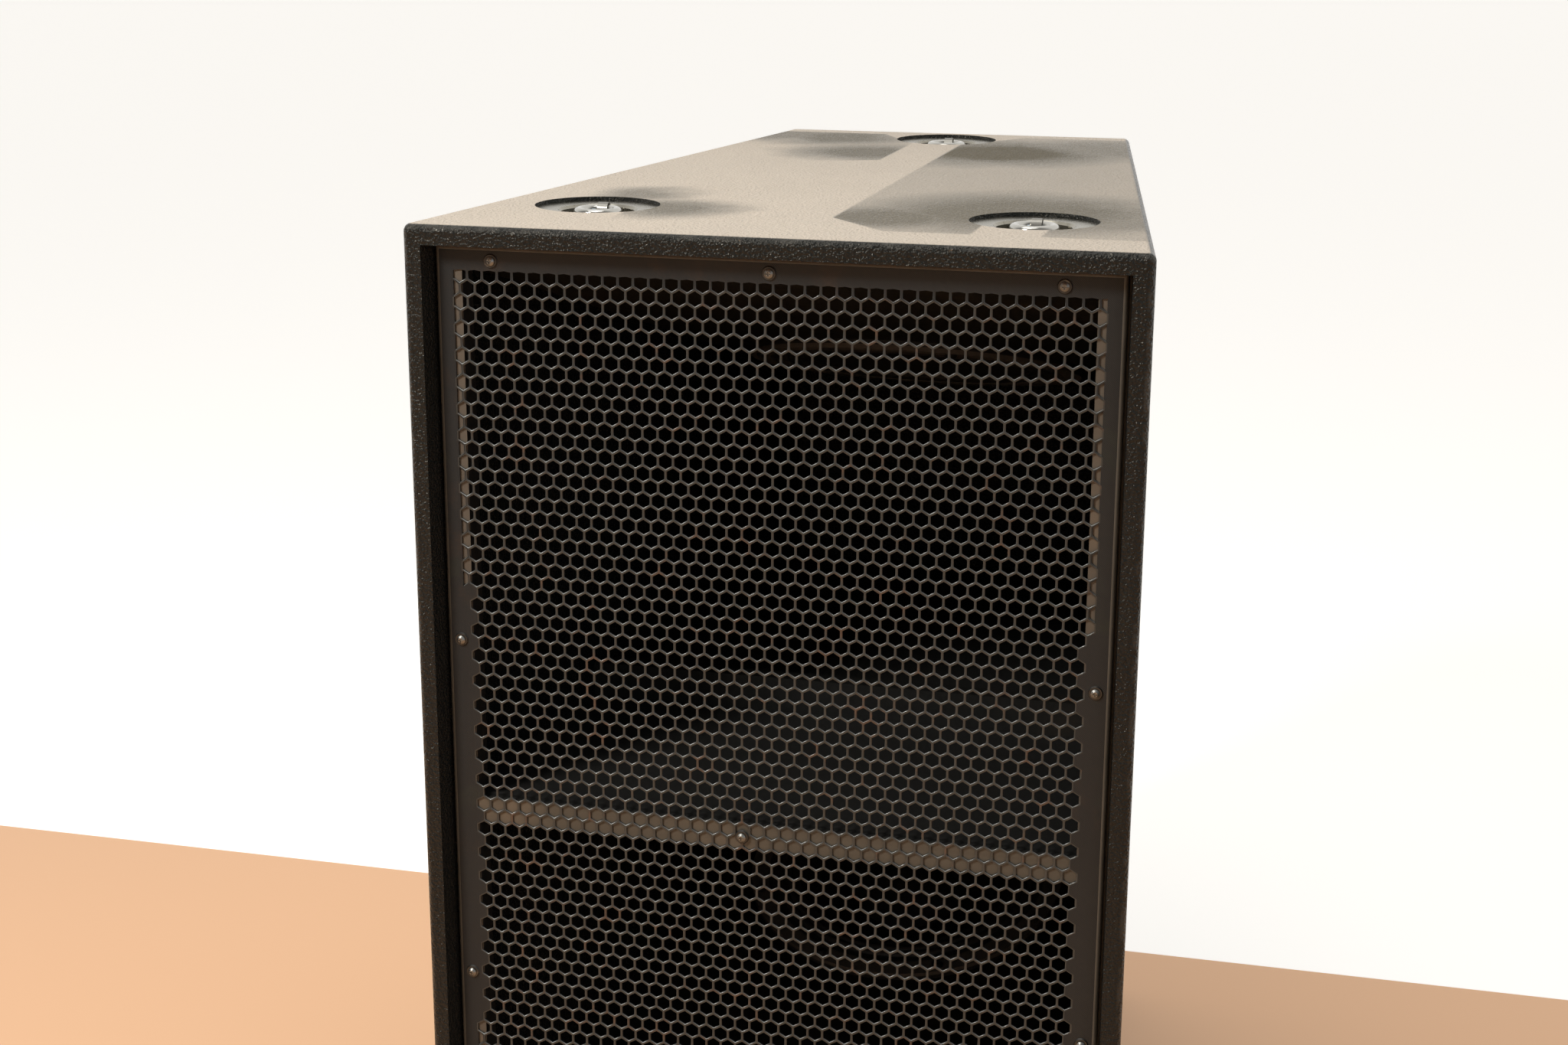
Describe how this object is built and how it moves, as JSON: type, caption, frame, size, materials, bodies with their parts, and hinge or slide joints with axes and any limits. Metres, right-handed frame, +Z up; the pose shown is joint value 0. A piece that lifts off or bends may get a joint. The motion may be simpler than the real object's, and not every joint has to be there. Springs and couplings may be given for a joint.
{
  "type": "touring loudspeaker cabinet",
  "caption": "Trapezoid touring loudspeaker cabinet with a hexagon-punched full-face grille, sloping driver boards inside and flush ring rigging points.",
  "frame": {"origin": "centre of the underside", "axes": "+Z up, the grille faces -Y, +X is to the right seen from the front"},
  "size_m": [0.5398, 0.762, 0.908],
  "materials": {
    "black_paint": "plywood under black textured paint",
    "inner_paint": "thin matt dark paint on plywood",
    "bare_board": "bare softwood strip",
    "divider_board": "plywood, bare light edge at the front",
    "grille_paint": "dark grey powder coat, worn lighter on the edges",
    "zinc_screws": "bright zinc",
    "cup_washers": "dull nickel",
    "pan_metal": "bright plated casting",
    "ring_metal": "bright plated wire",
    "saddle_metal": "plated steel",
    "rubber": "black rubber",
    "backing_steel": "dull steel",
    "black_screws": "blackened steel",
    "handle_paint": "satin black powder coat",
    "grip_steel": "zinc-plated bar",
    "plate_paint": "satin black powder coat",
    "socket_plastic": "black moulding",
    "contact_brass": "tinned brass",
    "basket_paint": "black cast frame",
    "gasket_cork": "dark pressed board",
    "surround_cloth": "doped cloth",
    "cone_paper": "dark ribbed paper",
    "dust_cap_paper": "dark paper dome",
    "spider_cloth": "yellow varnished cloth",
    "coil_wire": "copper-clad winding on a former",
    "pole_steel": "zinc-plated steel",
    "ferrite": "bare ferrite"
  },
  "bodies": {
    "cabinet": {"bottom_panel": "black_paint", "bottom_rigging_pans": "pan_metal", "centre_divider": "divider_board", "connector_plate_screws": "zinc_screws", "connector_sockets": "socket_plastic", "connector_terminals": "contact_brass", "end_grille_battens": "bare_board", "grille": "grille_paint", "grille_cup_washers": "cup_washers", "grille_screws": "zinc_screws", "left_side_panel": "black_paint", "lower_baffle": "inner_paint", "lower_divider_brace": "inner_paint", "lower_driver_back_plate": "pole_steel", "lower_driver_basket": "basket_paint", "lower_driver_gasket": "gasket_cork", "lower_driver_magnet": "ferrite", "lower_driver_screws": "black_screws", "lower_driver_spider": "spider_cloth", "lower_driver_surround": "surround_cloth", "lower_driver_top_plate": "pole_steel", "rear_connector_plate": "plate_paint", "rear_panel": "black_paint", "rigging_backing_plates": "backing_steel", "rigging_plate_screws": "black_screws", "right_side_panel": "black_paint", "ring_rest_pads": "rubber", "ring_saddles": "saddle_metal", "side_grille_battens": "bare_board", "side_handle_bars": "grip_steel", "side_handle_dishes": "handle_paint", "side_handle_screws": "black_screws", "side_handle_sleeves": "rubber", "top_panel": "black_paint", "top_rigging_pans": "pan_metal", "upper_baffle": "inner_paint", "upper_divider_brace": "inner_paint", "upper_driver_back_plate": "pole_steel", "upper_driver_basket": "basket_paint", "upper_driver_gasket": "gasket_cork", "upper_driver_magnet": "ferrite", "upper_driver_screws": "black_screws", "upper_driver_spider": "spider_cloth", "upper_driver_surround": "surround_cloth", "upper_driver_top_plate": "pole_steel"},
    "upper_cone_body": {"upper_driver_cone": "cone_paper", "upper_driver_dust_cap": "dust_cap_paper", "upper_driver_voice_coil": "coil_wire"},
    "lower_cone_body": {"lower_driver_cone": "cone_paper", "lower_driver_dust_cap": "dust_cap_paper", "lower_driver_voice_coil": "coil_wire"},
    "left_ring_body": {"left_lifting_ring": "ring_metal"},
    "right_ring_body": {"right_lifting_ring": "ring_metal"},
    "rear_ring_body": {"rear_lifting_ring": "ring_metal"}
  },
  "joints": [
    {"name": "left_ring_lift", "type": "hinge", "parent": "cabinet", "child": "left_ring_body", "pos_m": [-0.168, -0.22625, 0.9024], "axis": [-1, 0, 0], "range_deg": [0, 130]},
    {"name": "right_ring_lift", "type": "hinge", "parent": "cabinet", "child": "right_ring_body", "pos_m": [0.168, -0.22625, 0.9024], "axis": [-1, 0, 0], "range_deg": [0, 130]},
    {"name": "rear_ring_lift", "type": "hinge", "parent": "cabinet", "child": "rear_ring_body", "pos_m": [0, 0.33175, 0.9024], "axis": [-1, 0, 0], "range_deg": [0, 130]},
    {"name": "upper_cone_travel", "type": "slide", "parent": "cabinet", "child": "upper_cone_body", "axis": [0, -0.2924, -0.9563], "range_m": [-0.006, 0.006], "stiffness_N_per_m": 4000, "deforming": ["upper_driver_surround", "upper_driver_spider"]},
    {"name": "lower_cone_travel", "type": "slide", "parent": "cabinet", "child": "lower_cone_body", "axis": [0, -0.2924, 0.9563], "range_m": [-0.006, 0.006], "stiffness_N_per_m": 4000, "deforming": ["lower_driver_surround", "lower_driver_spider"]}
  ]
}
